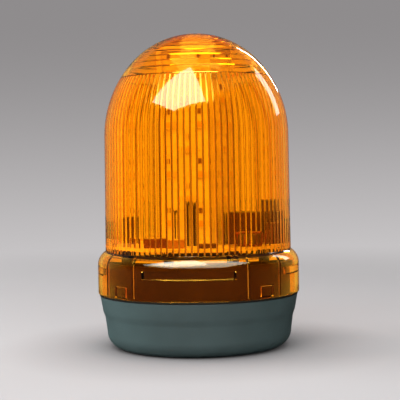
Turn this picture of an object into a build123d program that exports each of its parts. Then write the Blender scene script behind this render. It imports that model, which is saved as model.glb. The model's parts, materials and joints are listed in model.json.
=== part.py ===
from build123d import *
import os
from math import acos, atan2, cos, degrees, hypot, radians, sin, sqrt

# Warning light: an amber dome lens locked by a bayonet on a round base, over a square tower of
# light boards. Millimetres, +Z up, origin at the middle of the bottom face, front towards -Y.
# Angles round the axis are in degrees from the front, positive towards +X.

# Driving sizes of the lens
collar_diameter = 125.0
collar_straight_height = 17.8
shoulder_radius = 9.5
dome_inset = 4.8
dome_draft = 0.5
dome_wall_height = 70.6
side_arc_excess = 10.8
crown_arc_shortfall = 3.9
lens_wall = 2.5
rib_count = 96
rib_root_wall = 2.0
rib_depth = 1.1
rib_window_share = 0.62
rib_end_lean_deg = 60.35
rib_level_count = 3
crown_ring_count = 9
crown_ring_pitch_deg = 5.0
crown_ring_first_deg = 53.6
crown_ring_depth = 1.0

# Locking bars, locating blocks and guide ribs inside the collar, four of each set round the axis
quarter_count = 4
bar_height = 4.2
bar_start_deg = -32.5
bar_sweep_deg = 52.8
bar_top_drop = 1.0
bar_neck_gap = 0.6
block_height = 6.0
block_foot_height = 1.3
block_depth = 1.6
block_centre_deg = 41.0
block_sweep_deg = 8.5
guide_depth = 0.8
guide_width_deg = 0.9
guide_left_deg = -38.7
guide_right_deg = 28.2
moulding_overlap = 0.6

# Base housing
rim_inset = 1.0
flare_depth = 1.6
flare_rise = 8.9
waist_depth = 1.5
waist_rise = 5.2
foot_draft = 1.1
foot_wall_height = 8.4
foot_edge_radius = 9.8
housing_wall = 2.6
housing_floor = 3.0
rim_wall = 2.6
ledge_depth = 2.5
ledge_width = 1.9

# Seals
gasket_thickness = 1.4
gasket_inset = 0.7
gasket_neck_gap = 0.4
mounting_seal_inset = 2.5
mounting_seal_width = 2.4
mounting_seal_depth = 1.6

# Bayonet ring, the neck that the lens locks on
neck_inset = 5.7
neck_wall = 2.5
ring_fit = 0.2
lug_wall_gap = 1.4
lug_bar_gap = 0.3
lug_thickness = 2.2
lug_start_deg = -35.2
lug_sweep_deg = 23.2
stop_sweep_deg = 2.4
stop_drop = 4.6

# Screws of the ring and of the main board
ring_screw_count = 3
ring_screw_inset = 6.3
ring_screw_first_deg = 70.0
screw_boss_diameter = 7.0
screw_pilot_diameter = 2.6
screw_shank_diameter = 2.5
screw_hole_diameter = 3.4
screw_head_diameter = 5.6
screw_head_height = 2.0
screw_length = 10.0
screw_slot_width = 0.8
screw_slot_depth = 0.8
board_screw_count = 4
board_screw_inset = 7.3
board_screw_first_deg = 25.0
post_foot_lift = 1.7
post_web_width = 2.0

# Bottom: inserts, cable entry
insert_count = 3
insert_seal_gap = 1.1
insert_first_deg = 60.0
insert_diameter = 8.0
insert_bore_diameter = 5.0
insert_length = 10.0
insert_boss_diameter = 12.0
insert_boss_height = 9.0
entry_recess_diameter = 28.0
entry_recess_depth = 4.0
grommet_bore_diameter = 7.0
grommet_neck_diameter = 12.0
grommet_flange_diameter = 18.0
grommet_flange_thickness = 1.8
grommet_nose_diameter = 10.0
grommet_nose_height = 4.0

# Main board
board_inset = 4.8
board_thickness = 1.6
board_lift = 8.6
wire_hole_diameter = 12.0
wire_hole_deg = -144.1
wire_hole_inset = 16.2

# Light tower
tower_side = 35.4
tower_turn_deg = -25.0
tower_crown_gap = 13.1
tower_core_gap = 2.5
tower_core_wall = 1.6
corner_post = 3.1
tower_foot_thickness = 2.0
tower_foot_overhang = 0.6
tower_tab_width = 9.0
tower_tab_reach = 8.0
tower_cap_thickness = 2.0
cap_spigot_height = 3.0
cap_spigot_fit = 0.2
cap_vent_count = 3
cap_vent_pitch = 8.0
cap_vent_diameter = 4.0
light_board_thickness = 1.6
light_board_gap = 0.1

# Lights and resistors on each board
face_count = 4
light_size = 5.0
light_thickness = 1.6
light_window_diameter = 4.0
light_window_depth = 0.3
light_window_sides = 8
light_row_pitch = 15.0
light_row_first = 13.4
light_column_pitch = 10.0
resistor_length = 3.2
resistor_width = 1.6
resistor_thickness = 0.7
resistor_offset = 8.0

# Supply wires up to the front light board
wire_diameter = 1.3
wire_side_count = 8
wire_bend_radius = 4.0
wire_standoff = 5.0
wire_places = (-5.2, 3.6, 8.0)
wire_rises = (21.3, 26.8, 26.4)

# Parts on the main board: width along X, depth along Y, height, then the centre's angle and
# its distance in from the board's edge
relay_width = 8.0
relay_depth = 13.0
relay_height = 17.0
relay_edge = 0.4
relay_deg = -101.8
relay_inset = 8.1
buzzer_diameter = 21.0
buzzer_height = 19.8
buzzer_wall = 1.2
buzzer_disc_fit = 0.1
buzzer_hole_diameter = 6.0
buzzer_disc_thickness = 0.5
buzzer_disc_drop = 4.0
buzzer_deg = 68.8
buzzer_inset = 22.1
capacitor_diameter = 12.0
capacitor_length = 26.7
capacitor_groove_height = 2.6
capacitor_groove_depth = 0.5
capacitor_groove_width = 1.6
capacitor_deg = 93.3
capacitor_inset = 6.7
film_width = 7.5
film_depth = 10.0
film_height = 13.0
film_deg = 77.2
film_inset = 5.2
film_edge = 0.8
choke_outer_diameter = 14.0
choke_inner_diameter = 6.4
choke_core_height = 6.6
choke_turn_count = 14
choke_wire_diameter = 1.1
choke_deg = 44.3
choke_inset = 8.7
rectifier_width = 15.0
rectifier_depth = 4.0
rectifier_height = 12.0
rectifier_corner = 3.0
rectifier_deg = 167.5
rectifier_inset = 15.1
chip_width = 10.0
chip_depth = 7.5
chip_height = 2.3
chip_deg = 8.3
chip_inset = 10.6
chip_legs_a_side = 4
chip_leg_pitch = 2.54
chip_leg_width = 0.8
chip_leg_reach = 1.4
chip_leg_thickness = 0.3
chip_leg_height = 1.1
terminal_way_count = 3
terminal_pitch = 5.0
terminal_depth = 9.0
terminal_height = 11.0
terminal_wall = 0.7
terminal_wire_hole = 2.6
terminal_wire_height = 4.4
terminal_clamp_fit = 0.1
terminal_clamp_foot = 2.0
terminal_clamp_height = 5.5
terminal_screw_diameter = 3.2
terminal_screw_height = 1.6
terminal_deg = -173.5
terminal_inset = 7.7
trimmer_side = 9.5
trimmer_height = 4.8
trimmer_rotor_diameter = 6.4
trimmer_rotor_height = 1.4
trimmer_rotor_sunk = 0.9
trimmer_slot_width = 0.9
trimmer_slot_depth = 0.7
trimmer_fit = 0.15
trimmer_deg = -19.6
trimmer_inset = 12.7
switch_way_count = 4
switch_pitch = 2.54
switch_width = 11.7
switch_depth = 9.9
switch_height = 5.5
switch_slot_width = 1.6
switch_slot_length = 4.4
switch_slot_depth = 1.6
slider_fit = 0.15
slider_travel = 2.0
slider_proud = 0.6
switch_deg = -38.0
switch_inset = 11.4

# Places worked out from the driving sizes
collar_radius = collar_diameter / 2
collar_inner_radius = collar_radius - lens_wall
rim_radius = collar_radius - rim_inset
flare_foot_radius = rim_radius - flare_depth
waist_radius = flare_foot_radius - waist_depth
foot_radius = waist_radius - foot_draft
waist_height = foot_edge_radius + foot_wall_height
flare_foot_height = waist_height + waist_rise
rim_height = flare_foot_height + flare_rise
lens_foot = rim_height + gasket_thickness
collar_top = lens_foot + collar_straight_height
shoulder_centre = collar_radius - shoulder_radius
dome_foot_radius = collar_radius - dome_inset
spring_radius = dome_foot_radius - dome_draft
dome_side_radius = spring_radius + side_arc_excess
dome_crown_radius = spring_radius - crown_arc_shortfall
shoulder_turn = degrees(acos((dome_foot_radius - shoulder_centre) / shoulder_radius))
dome_foot = collar_top + shoulder_radius * sin(radians(shoulder_turn))
spring_height = dome_foot + dome_wall_height
side_centre = spring_radius - dome_side_radius
crown_centre = spring_height + sqrt((dome_side_radius - dome_crown_radius) ** 2 - side_centre ** 2)
side_turn = degrees(atan2(crown_centre - spring_height, -side_centre))
crown_inner_radius = dome_crown_radius - lens_wall
rib_crest_ratio = 1 - rib_depth / (dome_foot_radius - rib_root_wall)
neck_radius = collar_radius - neck_inset
neck_inner_radius = neck_radius - neck_wall
bar_top = collar_top - bar_top_drop
lug_foot = bar_top + lug_bar_gap
neck_height = lug_foot + lug_thickness
ring_seat = rim_height - ledge_depth
ring_seat_radius = rim_radius - rim_wall
seal_outer_radius = foot_radius - foot_edge_radius - mounting_seal_inset
seal_inner_radius = seal_outer_radius - mounting_seal_width
insert_ring_radius = seal_inner_radius - insert_seal_gap - insert_diameter / 2
ring_screw_radius = neck_inner_radius - ring_screw_inset
board_screw_radius = neck_inner_radius - board_screw_inset
post_foot = rim_height + post_foot_lift
board_radius = neck_radius - board_inset
board_height = neck_height + board_lift
board_top = board_height + board_thickness
tower_half = tower_side / 2
core_half = tower_half - tower_core_gap
tower_core_side = 2 * core_half
tower_top = crown_centre + crown_inner_radius - tower_crown_gap
tower_height = tower_top - board_top
light_board_width = tower_side - 2 * corner_post - 2 * light_board_gap
light_face = core_half + light_board_thickness
light_rows_room = tower_height - light_row_first - resistor_offset - resistor_length / 2
light_row_count = 1 + int(light_rows_room / light_row_pitch)


def around(angle_deg, radius):
    """The place in plan at an angle from the front and a radius from the axis."""
    return radius * sin(radians(angle_deg)), -radius * cos(radians(angle_deg))


wire_hole_x, wire_hole_y = around(wire_hole_deg, board_radius - wire_hole_inset)
relay_x, relay_y = around(relay_deg, board_radius - relay_inset)
buzzer_x, buzzer_y = around(buzzer_deg, board_radius - buzzer_inset)
capacitor_x, capacitor_y = around(capacitor_deg, board_radius - capacitor_inset)
film_x, film_y = around(film_deg, board_radius - film_inset)
choke_x, choke_y = around(choke_deg, board_radius - choke_inset)
rectifier_x, rectifier_y = around(rectifier_deg, board_radius - rectifier_inset)
chip_x, chip_y = around(chip_deg, board_radius - chip_inset)
terminal_x, terminal_y = around(terminal_deg, board_radius - terminal_inset)
trimmer_x, trimmer_y = around(trimmer_deg, board_radius - trimmer_inset)
switch_x, switch_y = around(switch_deg, board_radius - switch_inset)


def spun(edges):
    """The solid that a closed outline of radius and height edges makes round the axis."""
    return revolve(Plane.XZ * make_face(edges), Axis.Z)


def spun_points(*corners):
    """The same, for an outline of straight edges between corners."""
    return spun(Polyline(*corners, close=True).edges())


def sector(corners, start_deg, sweep_deg):
    """A stretch of a turned moulding, from a start angle through a sweep."""
    outline = Plane.XZ * make_face(Polyline(*corners, close=True).edges())
    return Rot(0, 0, start_deg - 90) * revolve(outline, Axis.Z, revolution_arc=sweep_deg)


def block(width, depth, height, x, y, foot):
    """A box standing on a height, centred at x and y."""
    lift = Pos(x, y, foot)
    return lift * Box(width, depth, height, align=(Align.CENTER, Align.CENTER, Align.MIN))


def rod(radius, height, x, y, foot):
    """An upright cylinder standing on a height, centred at x and y."""
    lift = Pos(x, y, foot)
    return lift * Cylinder(radius, height, align=(Align.CENTER, Align.CENTER, Align.MIN))


def dome_radius(height, wall):
    """Radius of the dome's surface, a wall thickness inside the outer one, below the crown."""
    if height <= spring_height:
        share = (height - dome_foot) / dome_wall_height
        return dome_foot_radius + share * (spring_radius - dome_foot_radius) - wall
    rise = height - spring_height
    return side_centre + sqrt((dome_side_radius - wall) ** 2 - rise ** 2)


def lens_outside():
    """The lens filled in: straight collar, rounded shoulder, slightly drafted wall, arched crown."""
    crown_sweep = 90 - side_turn
    edges = [
        Line((0, lens_foot), (collar_radius, lens_foot)),
        Line((collar_radius, lens_foot), (collar_radius, collar_top)),
        CenterArc((shoulder_centre, collar_top), shoulder_radius, 0, shoulder_turn),
        Line((dome_foot_radius, dome_foot), (spring_radius, spring_height)),
        CenterArc((side_centre, spring_height), dome_side_radius, 0, side_turn),
        CenterArc((0, crown_centre), dome_crown_radius, side_turn, crown_sweep),
        Line((0, crown_centre + dome_crown_radius), (0, lens_foot)),
    ]
    return spun(edges)


def collar_bore():
    """The room inside the collar: straight, then round the shoulder in to the foot of the ribs."""
    root_radius = dome_foot_radius - rib_root_wall
    bore_round = shoulder_radius - lens_wall
    turn = degrees(acos((root_radius - shoulder_centre) / bore_round))
    top = collar_top + bore_round * sin(radians(turn))
    edges = [
        Line((0, rim_height), (collar_inner_radius, rim_height)),
        Line((collar_inner_radius, rim_height), (collar_inner_radius, collar_top)),
        CenterArc((shoulder_centre, collar_top), bore_round, 0, turn),
        Line((root_radius, top), (0, top)),
        Line((0, top), (0, rim_height)),
    ]
    return spun(edges), top


def rib_section(root_radius, height):
    """Outline of the ribbed bore at a height: a groove, then the flat window of a rib, and so on."""
    corners = []
    window = radians(rib_window_share * 180 / rib_count)
    for index in range(rib_count):
        groove = radians(index * 360 / rib_count)
        crest = groove + radians(180 / rib_count)
        for angle, radius in ((groove, root_radius), (crest - window, root_radius * rib_crest_ratio),
                              (crest + window, root_radius * rib_crest_ratio)):
            corners.append((radius * cos(angle), radius * sin(angle), height))
    return make_face(Polyline(*corners, close=True).edges())


def ribbed_bore(foot):
    """The room inside the dome's wall, with an upright rib between each two grooves."""
    top = crown_centre + crown_inner_radius * cos(radians(rib_end_lean_deg))
    levels = [foot - moulding_overlap, spring_height]
    for index in range(1, rib_level_count + 1):
        levels.append(spring_height + (top - spring_height) * index / rib_level_count)
    sections = [rib_section(dome_radius(level, rib_root_wall), level) for level in levels]
    return loft(sections, ruled=True), top


def crown_bore(foot):
    """The room under the crown: a plain band, then prism rings that step down to the middle."""
    start_radius = crown_inner_radius * sin(radians(rib_end_lean_deg))
    start_turn = 90 - rib_end_lean_deg
    edges = [
        Line((0, foot - moulding_overlap), (start_radius, foot - moulding_overlap)),
        Line((start_radius, foot - moulding_overlap), (start_radius, foot)),
        CenterArc((0, crown_centre), crown_inner_radius, start_turn,
                  90 - crown_ring_first_deg - start_turn),
    ]
    corners = []
    for index in range(crown_ring_count + 1):
        lean = radians(crown_ring_first_deg - index * crown_ring_pitch_deg)
        radius = crown_inner_radius * sin(lean)
        height = crown_centre + crown_inner_radius * cos(lean)
        corners.append((radius, height))
        if index < crown_ring_count:
            corners.append((radius, height - crown_ring_depth))
    corners.append((0, corners[-1][1]))
    corners.append((0, foot - moulding_overlap))
    return spun(edges + Polyline(*corners).edges())


def collar_mouldings():
    """Locking bars, locating blocks and guide ribs, a quarter turn apart inside the collar."""
    outer = collar_inner_radius + moulding_overlap
    bar_foot = bar_top - bar_height
    bar_inner = neck_radius + bar_neck_gap
    bar = [(bar_inner, bar_foot), (outer, bar_foot), (outer, bar_top), (bar_inner, bar_top)]
    block_foot = lens_foot + block_foot_height
    block_inner = collar_inner_radius - block_depth
    locating = [(block_inner, block_foot), (outer, block_foot),
                (outer, block_foot + block_height), (block_inner, block_foot + block_height)]
    guide_inner = collar_inner_radius - guide_depth
    guide = [(guide_inner, block_foot), (outer, block_foot),
             (outer, collar_top), (guide_inner, collar_top)]
    pieces = []
    for quarter in range(quarter_count):
        turn = quarter * 360 / quarter_count
        pieces.append(sector(bar, turn + bar_start_deg, bar_sweep_deg))
        pieces.append(sector(locating, turn + block_centre_deg - block_sweep_deg / 2,
                             block_sweep_deg))
        for edge_deg in (guide_left_deg, guide_right_deg):
            pieces.append(sector(guide, turn + edge_deg - guide_width_deg / 2, guide_width_deg))
    return pieces


def make_lens():
    """The amber lens: one moulding with ribs, crown rings and its half of the bayonet."""
    collar_room, rib_foot = collar_bore()
    rib_room, rib_top = ribbed_bore(rib_foot)
    lens = lens_outside() - collar_room
    for piece in collar_mouldings():
        lens += piece
    lens -= rib_room
    return lens - crown_bore(rib_top)


def write(name, *solids):
    """Write a node's solids to its own file."""
    if len(solids) == 1:
        shape = solids[0]
    else:
        shape = Compound(children=list(solids))
    export_step(shape, "parts/" + name + ".step")
    return shape


def screw(place, seat, length):
    """A screw standing on a seat height: slotted round head above, plain shank below."""
    x, y = place
    head = rod(screw_head_diameter / 2, screw_head_height, x, y, seat)
    slot = block(screw_head_diameter, screw_slot_width, screw_slot_depth, x, y,
                 seat + screw_head_height - screw_slot_depth)
    return head + rod(screw_shank_diameter / 2, length, x, y, seat - length) - slot


def housing_outline():
    """Outside of the base: rounded bottom edge, near-upright foot, waist, flare up to the rim."""
    waist = (waist_radius, waist_height)
    flare = (flare_foot_radius, flare_foot_height)
    rim = (rim_radius, rim_height)
    edge_centre = foot_radius - foot_edge_radius
    return [
        Line((0, 0), (edge_centre, 0)),
        CenterArc((edge_centre, foot_edge_radius), foot_edge_radius, -90, 90),
        Line((foot_radius, foot_edge_radius), waist),
        Spline([waist, flare], tangents=[(foot_draft, foot_wall_height),
                                         (flare_depth, flare_rise)]),
        Line(flare, rim),
        Line(rim, (0, rim_height)),
        Line((0, rim_height), (0, 0)),
    ]


def housing_room():
    """Inside of the base: floor with a sloped edge, drafted wall and the ledge of the ring."""
    inner_round = foot_edge_radius - housing_wall
    foot = foot_radius - housing_wall
    return spun_points(
        (0, housing_floor),
        (foot - inner_round, housing_floor),
        (foot, housing_floor + inner_round),
        (waist_radius - housing_wall, waist_height),
        (flare_foot_radius - housing_wall, flare_foot_height),
        (ring_seat_radius - ledge_width, ring_seat),
        (ring_seat_radius, ring_seat),
        (ring_seat_radius, rim_height + moulding_overlap),
        (0, rim_height + moulding_overlap),
    )


def ring_screw_places():
    """Where the ring's screws stand, seen from above."""
    step = 360 / ring_screw_count
    return [around(ring_screw_first_deg + index * step, ring_screw_radius)
            for index in range(ring_screw_count)]


def board_screw_places():
    """Where the main board's screws stand, seen from above."""
    step = 360 / board_screw_count
    return [around(board_screw_first_deg + index * step, board_screw_radius)
            for index in range(board_screw_count)]


def insert_places():
    """Where the mounting inserts stand, seen from above."""
    step = 360 / insert_count
    return [around(insert_first_deg + index * step, insert_ring_radius)
            for index in range(insert_count)]


def web(place, reach, foot, top):
    """An upright web from a boss or post outwards to the wall around it."""
    x, y = place
    distance = hypot(x, y)
    turn = degrees(atan2(y, x))
    length = reach - distance
    return Rot(0, 0, turn) * block(length, post_web_width, top - foot,
                                   distance + length / 2, 0, foot)


def make_base_housing():
    """The base: a cup with insert bosses, screw bosses, a raised cable entry and a seal groove."""
    housing = spun(housing_outline()) - housing_room()
    entry_radius = entry_recess_diameter / 2
    housing += rod(entry_radius + housing_wall, entry_recess_depth + housing_floor, 0, 0, 0)
    for place in insert_places():
        x, y = place
        housing += rod(insert_boss_diameter / 2, insert_boss_height + housing_floor, x, y, 0)
        housing -= rod(insert_diameter / 2, insert_length, x, y, 0)
    boss_foot = housing_floor - moulding_overlap
    web_reach = foot_radius - housing_wall / 2
    for place in ring_screw_places():
        x, y = place
        housing += rod(screw_boss_diameter / 2, ring_seat - boss_foot, x, y, boss_foot)
        housing += web(place, web_reach, foot_edge_radius, ring_seat)
        housing -= rod(screw_pilot_diameter / 2, screw_length, x, y, ring_seat - screw_length)
    housing -= rod(entry_radius, entry_recess_depth, 0, 0, 0)
    housing -= rod(grommet_neck_diameter / 2, entry_recess_depth + housing_floor, 0, 0, 0)
    return housing - make_mounting_seal()


def make_mounting_seal():
    """The flat sealing ring set in a groove of the bottom face."""
    return spun_points((seal_inner_radius, 0), (seal_outer_radius, 0),
                       (seal_outer_radius, mounting_seal_depth),
                       (seal_inner_radius, mounting_seal_depth))


def make_mount_inserts():
    """Brass sleeves pressed into the bottom bosses."""
    sleeves = []
    for place in insert_places():
        x, y = place
        sleeves.append(rod(insert_diameter / 2, insert_length, x, y, 0)
                       - rod(insert_bore_diameter / 2, insert_length, x, y, 0))
    return sleeves


def make_cable_grommet():
    """Rubber grommet in the raised floor: a flange each side of the wall and a tapered nose."""
    bore = grommet_bore_diameter / 2
    neck = grommet_neck_diameter / 2
    flange = grommet_flange_diameter / 2
    wall_foot = entry_recess_depth
    wall_top = entry_recess_depth + housing_floor
    flange_top = wall_top + grommet_flange_thickness
    return spun_points(
        (bore, wall_foot - grommet_flange_thickness),
        (flange, wall_foot - grommet_flange_thickness),
        (flange, wall_foot),
        (neck, wall_foot),
        (neck, wall_top),
        (flange, wall_top),
        (flange, flange_top),
        (grommet_nose_diameter / 2, flange_top + grommet_nose_height),
        (bore, flange_top + grommet_nose_height),
    )


def make_lens_gasket():
    """Rubber ring lying on the rim and on the bayonet ring's flange."""
    outer = collar_radius - gasket_inset
    inner = neck_radius + gasket_neck_gap
    return spun_points((inner, rim_height), (outer, rim_height), (outer, lens_foot),
                       (inner, lens_foot))


def make_bayonet_ring():
    """The neck that the lens locks on: flange, lugs with stops, screw ears and board posts."""
    ring = spun_points(
        (neck_inner_radius, ring_seat),
        (ring_seat_radius - ring_fit, ring_seat),
        (ring_seat_radius - ring_fit, rim_height),
        (neck_radius, rim_height),
        (neck_radius, neck_height),
        (neck_inner_radius, neck_height),
    )
    inner = neck_radius - moulding_overlap
    outer = collar_inner_radius - lug_wall_gap
    lug = [(inner, lug_foot), (outer, lug_foot), (outer, neck_height), (inner, neck_height)]
    stop_foot = lug_foot - stop_drop
    stop = [(inner, stop_foot), (outer, stop_foot), (outer, neck_height), (inner, neck_height)]
    for quarter in range(quarter_count):
        turn = quarter * 360 / quarter_count
        ring += sector(lug, turn + lug_start_deg, lug_sweep_deg)
        ring += sector(stop, turn + lug_start_deg, stop_sweep_deg)
    web_reach = neck_inner_radius + moulding_overlap
    for place in ring_screw_places():
        x, y = place
        ring += rod(screw_boss_diameter / 2, ledge_depth, x, y, ring_seat)
        ring += ear_bridge(place, web_reach)
        ring -= rod(screw_hole_diameter / 2, ledge_depth, x, y, ring_seat)
    for place in board_screw_places():
        x, y = place
        ring += rod(screw_boss_diameter / 2, board_height - post_foot, x, y, post_foot)
        ring += web(place, web_reach, post_foot, lug_foot)
        ring -= rod(screw_pilot_diameter / 2, screw_length, x, y, board_height - screw_length)
    return ring


def ear_bridge(place, reach):
    """The flat stretch that joins a screw ear to the ring's flange."""
    x, y = place
    distance = hypot(x, y)
    turn = degrees(atan2(y, x))
    length = reach - distance
    return Rot(0, 0, turn) * block(length, screw_boss_diameter, ledge_depth,
                                   distance + length / 2, 0, ring_seat)


def make_main_board():
    """The round main board with its screw holes and the hole for the supply cable."""
    board = rod(board_radius, board_thickness, 0, 0, board_height)
    for place in board_screw_places():
        x, y = place
        board -= rod(screw_hole_diameter / 2, board_thickness, x, y, board_height)
    return board - rod(wire_hole_diameter / 2, board_thickness, wire_hole_x, wire_hole_y,
                       board_height)


def on_tower(piece, face=0):
    """Turn a piece modelled on the front of an unturned tower to one of the tower's faces."""
    return Rot(0, 0, tower_turn_deg + face * 360 / face_count) * piece


def tab_screw_places():
    """Where the tower's two screws stand, on the tabs at its back and its left."""
    distance = tower_half + tower_tab_reach / 2
    return [around(tower_turn_deg + 180, distance), around(tower_turn_deg + 270, distance)]


def make_tower_frame():
    """The tower: a square core, four corner posts that hold the light boards, a foot with tabs."""
    frame = block(tower_core_side, tower_core_side, tower_height, 0, 0, board_top)
    post_centre = tower_half - corner_post / 2
    for x_side in (-1, 1):
        for y_side in (-1, 1):
            frame += block(corner_post, corner_post, tower_height, x_side * post_centre,
                           y_side * post_centre, board_top)
    foot_side = tower_side + 2 * tower_foot_overhang
    frame += block(foot_side, foot_side, tower_foot_thickness, 0, 0, board_top)
    tab_length = tower_half + tower_tab_reach
    frame += block(tab_length, tower_tab_width, tower_foot_thickness, -tab_length / 2, 0, board_top)
    frame += block(tower_tab_width, tab_length, tower_foot_thickness, 0, tab_length / 2, board_top)
    room = tower_core_side - 2 * tower_core_wall
    frame -= block(room, room, tower_height, 0, 0, board_top)
    frame = on_tower(frame)
    for x, y in tab_screw_places():
        frame -= rod(screw_hole_diameter / 2, tower_foot_thickness, x, y, board_top)
    return frame


def make_tower_cap():
    """Square cap on the tower, with a spigot in the core and a grid of vent holes."""
    spigot = tower_core_side - 2 * tower_core_wall - 2 * cap_spigot_fit
    cap = block(tower_side, tower_side, tower_cap_thickness, 0, 0, tower_top)
    cap += block(spigot, spigot, cap_spigot_height, 0, 0, tower_top - cap_spigot_height)
    depth = tower_cap_thickness + cap_spigot_height
    for column in range(cap_vent_count):
        for row in range(cap_vent_count):
            x = (column - (cap_vent_count - 1) / 2) * cap_vent_pitch
            y = (row - (cap_vent_count - 1) / 2) * cap_vent_pitch
            cap -= rod(cap_vent_diameter / 2, depth, x, y, tower_top - cap_spigot_height)
    return on_tower(cap)


def make_light_board(face):
    """One upright light board between two corner posts, standing on the tower's foot."""
    foot = board_top + tower_foot_thickness
    board = block(light_board_width, light_board_thickness, tower_top - foot, 0,
                  -core_half - light_board_thickness / 2, foot)
    return on_tower(board, face)


def light_places():
    """Across and up places of the lights: outer columns on even rows, middle on odd rows."""
    places = []
    for row in range(light_row_count):
        up = board_top + light_row_first + row * light_row_pitch
        if row % 2 == 0:
            places.append((-light_column_pitch, up))
            places.append((light_column_pitch, up))
        else:
            places.append((0, up))
    return places


def make_lights(face):
    """The lights of one board: square packages with a many-sided window."""
    lights = []
    for across, up in light_places():
        light = block(light_size, light_thickness, light_size, across,
                      -light_face - light_thickness / 2, up - light_size / 2)
        window = Pos(across, -light_face - light_thickness, up) * Rot(90, 0, 0) * extrude(
            RegularPolygon(light_window_diameter / 2, light_window_sides), amount=-light_window_depth)
        lights.append(on_tower(light - window, face))
    return lights


def make_resistors(face):
    """One small resistor above each light."""
    resistors = []
    for across, up in light_places():
        resistor = block(resistor_width, resistor_thickness, resistor_length, across,
                         -light_face - resistor_thickness / 2,
                         up + resistor_offset - resistor_length / 2)
        resistors.append(on_tower(resistor, face))
    return resistors


def make_supply_wires():
    """Three insulated wires: up from the main board, then bent in to the front light board."""
    wires = []
    for across, rise in zip(wire_places, wire_rises):
        start = (across, -light_face - wire_standoff, board_top)
        corner = (across, -light_face - wire_standoff, board_top + rise)
        end = (across, -light_face, board_top + rise)
        route = FilletPolyline(start, corner, end, radius=wire_bend_radius)
        section = Plane(origin=start, z_dir=(0, 0, 1)) * RegularPolygon(wire_diameter / 2, wire_side_count)
        wires.append(on_tower(sweep(section, path=route)))
    return wires


def make_relay():
    """The control relay: a plain upright block with softened edges."""
    relay = block(relay_width, relay_depth, relay_height, relay_x, relay_y, board_top)
    return chamfer(relay.faces().sort_by(Axis.Z)[-1].edges(), relay_edge)


def make_buzzer_housing():
    """Round buzzer case, open below, with a sound hole in its top."""
    radius = buzzer_diameter / 2
    case = rod(radius, buzzer_height, buzzer_x, buzzer_y, board_top)
    case -= rod(radius - buzzer_wall, buzzer_height - buzzer_wall, buzzer_x, buzzer_y, board_top)
    case -= rod(buzzer_hole_diameter / 2, buzzer_height, buzzer_x, buzzer_y, board_top)
    return case


def make_buzzer_disc():
    """The brass sounding disc held inside the buzzer case."""
    height = board_top + buzzer_height - buzzer_wall - buzzer_disc_drop
    radius = buzzer_diameter / 2 - buzzer_wall - buzzer_disc_fit
    return rod(radius, buzzer_disc_thickness, buzzer_x, buzzer_y, height)


def make_capacitor():
    """The tall capacitor: a can with the crimped groove near its foot."""
    radius = capacitor_diameter / 2
    groove = radius - capacitor_groove_depth
    middle = capacitor_groove_height + capacitor_groove_width / 2
    top = capacitor_groove_height + capacitor_groove_width
    can = spun_points((0, 0), (radius, 0), (radius, capacitor_groove_height), (groove, middle),
                      (radius, top), (radius, capacitor_length), (0, capacitor_length))
    return Pos(capacitor_x, capacitor_y, board_top) * can


def make_film_capacitor():
    """Box capacitor with softened edges."""
    box = block(film_width, film_depth, film_height, film_x, film_y, board_top)
    return chamfer(box.faces().sort_by(Axis.Z)[-1].edges(), film_edge)


def make_choke_core():
    """The ring core of the choke, lying on its winding."""
    foot = choke_wire_diameter
    core = spun_points((choke_inner_diameter / 2, foot), (choke_outer_diameter / 2, foot),
                       (choke_outer_diameter / 2, foot + choke_core_height),
                       (choke_inner_diameter / 2, foot + choke_core_height))
    return Pos(choke_x, choke_y, board_top) * core


def make_choke_winding():
    """The turns of wire round the ring core, each a closed loop."""
    turns = []
    wire = choke_wire_diameter
    inner = sqrt((choke_inner_diameter / 2) ** 2 - (wire / 2) ** 2)
    width = choke_outer_diameter / 2 - inner
    middle = inner + width / 2
    loop = block(width + 2 * wire, wire, choke_core_height + 2 * wire, middle, 0, 0)
    loop -= block(width, wire, choke_core_height, middle, 0, wire)
    for index in range(choke_turn_count):
        turn = Rot(0, 0, index * 360 / choke_turn_count)
        turns.append(Pos(choke_x, choke_y, board_top) * turn * loop)
    return turns


def make_rectifier():
    """Flat bridge rectifier standing on edge, one top corner cut off."""
    half = rectifier_width / 2
    top = rectifier_height
    cut = rectifier_corner
    outline = Polyline((-half, 0), (half, 0), (half, top - cut), (half - cut, top), (-half, top),
                       close=True)
    plate = extrude(Plane.XZ * make_face(outline.edges()), amount=rectifier_depth / 2, both=True)
    return Pos(rectifier_x, rectifier_y, board_top) * plate


def make_chip():
    """The controller chip: a flat body with legs down to the board on two sides."""
    stand = chip_leg_thickness
    chip = block(chip_width, chip_depth, chip_height, chip_x, chip_y, board_top + stand)
    shelf_depth = chip_depth + chip_leg_reach
    foot_depth = chip_depth + 2 * chip_leg_reach
    drop = chip_leg_height + chip_leg_thickness
    for index in range(chip_legs_a_side):
        x = chip_x + (index - (chip_legs_a_side - 1) / 2) * chip_leg_pitch
        chip += block(chip_leg_width, shelf_depth, chip_leg_thickness, x, chip_y,
                      board_top + chip_leg_height)
        chip += block(chip_leg_width, foot_depth, chip_leg_thickness, x, chip_y, board_top)
        for side in (-1, 1):
            chip += block(chip_leg_width, chip_leg_thickness, drop, x,
                          chip_y + side * shelf_depth / 2, board_top)
    return chip


def terminal_way_x(way):
    """Middle of one way of the terminal block."""
    return terminal_x + (way - (terminal_way_count - 1) / 2) * terminal_pitch


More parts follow.
